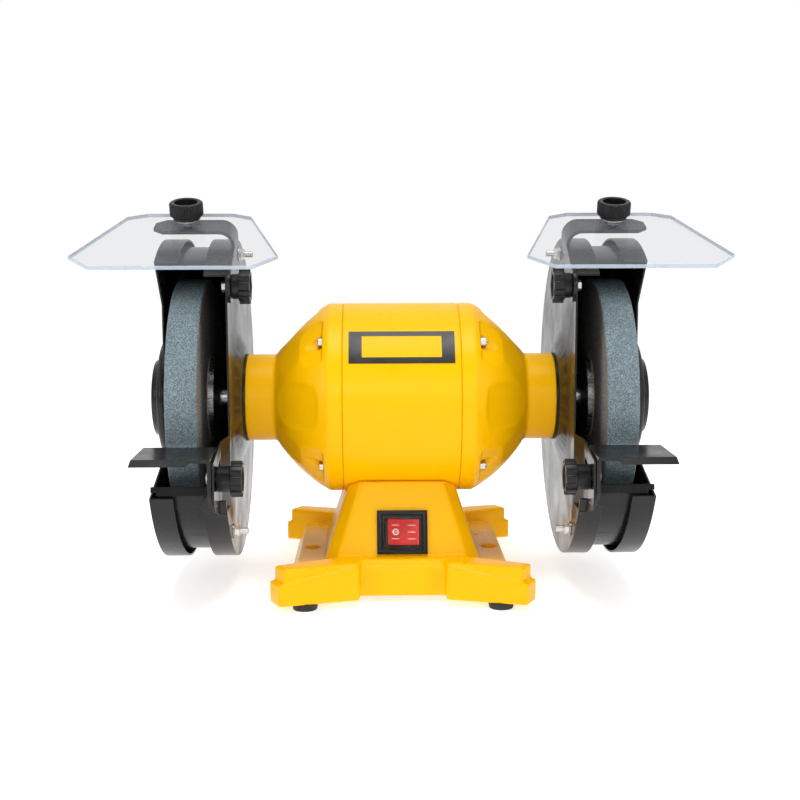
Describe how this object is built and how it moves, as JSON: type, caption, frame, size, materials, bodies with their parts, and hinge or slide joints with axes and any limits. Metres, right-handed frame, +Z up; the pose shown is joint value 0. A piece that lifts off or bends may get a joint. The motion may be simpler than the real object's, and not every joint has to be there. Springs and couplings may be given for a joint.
{
  "type": "bench grinder",
  "caption": "Bench grinder: a motor on a cast base drives a guarded grinding wheel at each end, with clamped tool rests, tilting clear eye shields and a covered rocker switch.",
  "frame": {"origin": "on the bench, at the centre of the overall box's footprint", "axes": "+X along the shaft to the right-hand wheel as the operator sees it, +Y away from the operator, +Z up. The shaft axis is 12.15 mm behind the origin and 156.5 mm above it."},
  "size_m": [0.5024, 0.2912, 0.3238],
  "materials": {
    "yellow_paint": "gloss",
    "black_paint": "gloss",
    "black_plastic": "satin",
    "rubber": "matte",
    "zinc": "zinc plated",
    "steel": "ground",
    "core_iron": "laminated sheet",
    "copper": "enamelled wire",
    "abrasive": "rough",
    "blotter": "matte",
    "clear_plastic": "clear",
    "red_plastic": "translucent",
    "label": "printed",
    "white_plastic": "satin"
  },
  "bodies": {
    "frame": {"base_casting": "yellow_paint", "base_plate": "zinc", "base_plate_screws": "zinc", "rubber_feet": "rubber", "saddle_bolts": "zinc", "motor_shell": "yellow_paint", "end_bell_left": "yellow_paint", "end_bell_right": "yellow_paint", "through_bolts": "zinc", "stator_core": "core_iron", "stator_windings": "copper", "bearing_outer_rings": "steel", "wave_washer": "steel", "capacitor": "black_plastic", "capacitor_clamp": "zinc", "terminal_block": "white_plastic", "cord_grommet": "rubber", "switch_body": "black_plastic", "switch_cover": "clear_plastic", "nameplate": "label", "neck_rings": "black_plastic", "inner_guard_left": "black_paint", "inner_guard_right": "black_paint", "guard_band_left": "black_paint", "guard_band_right": "black_paint", "outer_cover_left": "black_paint", "outer_cover_right": "black_paint", "guard_bolts": "zinc", "guard_mount_screws": "zinc", "tilt_bolts": "zinc"},
    "rotor": {"shaft": "steel", "rotor_core": "steel", "bearing_inner_rings": "steel", "inner_flange_left": "steel", "inner_flange_right": "steel", "outer_flange_left": "steel", "outer_flange_right": "steel", "wheel_left": "abrasive", "wheel_right": "abrasive", "wheel_blotters": "blotter", "spindle_nuts": "zinc"},
    "ball_sets": {"bearing_balls": "steel"},
    "rocker": {"switch_rocker": "red_plastic"},
    "rest_left": {"tool_rest_left": "black_paint", "rest_bolt_left": "zinc"},
    "rest_knob_left": {"rest_knob_left": "black_plastic"},
    "bracket_left": {"shield_bracket_left": "black_paint", "top_bolt_left": "zinc"},
    "shield_left": {"eye_shield_left": "clear_plastic"},
    "top_knob_left": {"top_knob_left": "black_plastic"},
    "tilt_knob_left": {"tilt_knob_left": "black_plastic"},
    "rest_right": {"tool_rest_right": "black_paint", "rest_bolt_right": "zinc"},
    "rest_knob_right": {"rest_knob_right": "black_plastic"},
    "bracket_right": {"shield_bracket_right": "black_paint", "top_bolt_right": "zinc"},
    "shield_right": {"eye_shield_right": "clear_plastic"},
    "top_knob_right": {"top_knob_right": "black_plastic"},
    "tilt_knob_right": {"tilt_knob_right": "black_plastic"}
  },
  "joints": [
    {"name": "rotor_spin", "type": "hinge", "parent": "frame", "child": "rotor", "pos_m": [0, 0.01215, 0.1565], "axis": [1, 0, 0], "continuous": true},
    {"name": "ball_orbit", "type": "hinge", "parent": "frame", "child": "ball_sets", "pos_m": [0, 0.01215, 0.1565], "axis": [1, 0, 0], "continuous": true},
    {"name": "rocker_tilt", "type": "hinge", "parent": "frame", "child": "rocker", "pos_m": [0, -0.04678, 0.05137], "axis": [0, 0.326, 0.9454], "range_deg": [-16, 0]},
    {"name": "rest_slide_left", "type": "slide", "parent": "frame", "child": "rest_left", "axis": [0, 0.9439, 0.3304], "range_m": [-0.008, 0.0025]},
    {"name": "rest_knob_turn_left", "type": "hinge", "parent": "rest_left", "child": "rest_knob_left", "pos_m": [-0.13, -0.11785, 0.111], "axis": [1, 0, 0], "range_deg": [0, 360]},
    {"name": "shield_tilt_left", "type": "hinge", "parent": "frame", "child": "bracket_left", "pos_m": [-0.1348, -0.06285, 0.2537], "axis": [1, 0, 0], "range_deg": [-6, 60]},
    {"name": "tilt_knob_turn_left", "type": "hinge", "parent": "frame", "child": "tilt_knob_left", "pos_m": [-0.127, -0.06285, 0.2537], "axis": [1, 0, 0], "range_deg": [0, 360]},
    {"name": "shield_swivel_left", "type": "hinge", "parent": "bracket_left", "child": "shield_left", "pos_m": [-0.1725, -0.0233, 0.30156], "axis": [0, -0.309, 0.9511], "range_deg": [-20, 20]},
    {"name": "top_knob_turn_left", "type": "hinge", "parent": "bracket_left", "child": "top_knob_left", "pos_m": [-0.1725, -0.0233, 0.30156], "axis": [0, -0.309, 0.9511], "range_deg": [0, 360]},
    {"name": "rest_slide_right", "type": "slide", "parent": "frame", "child": "rest_right", "axis": [0, 0.9439, 0.3304], "range_m": [-0.008, 0.0025]},
    {"name": "rest_knob_turn_right", "type": "hinge", "parent": "rest_right", "child": "rest_knob_right", "pos_m": [0.13, -0.11785, 0.111], "axis": [1, 0, 0], "range_deg": [0, 360]},
    {"name": "shield_tilt_right", "type": "hinge", "parent": "frame", "child": "bracket_right", "pos_m": [0.1348, -0.06285, 0.2537], "axis": [1, 0, 0], "range_deg": [-6, 60]},
    {"name": "tilt_knob_turn_right", "type": "hinge", "parent": "frame", "child": "tilt_knob_right", "pos_m": [0.127, -0.06285, 0.2537], "axis": [1, 0, 0], "range_deg": [0, 360]},
    {"name": "shield_swivel_right", "type": "hinge", "parent": "bracket_right", "child": "shield_right", "pos_m": [0.1725, -0.0233, 0.30156], "axis": [0, -0.309, 0.9511], "range_deg": [-20, 20]},
    {"name": "top_knob_turn_right", "type": "hinge", "parent": "bracket_right", "child": "top_knob_right", "pos_m": [0.1725, -0.0233, 0.30156], "axis": [0, -0.309, 0.9511], "range_deg": [0, 360]}
  ],
  "couplings": [
    {"joint": "ball_orbit", "follows": "rotor_spin", "ratio": 0.38358}
  ]
}
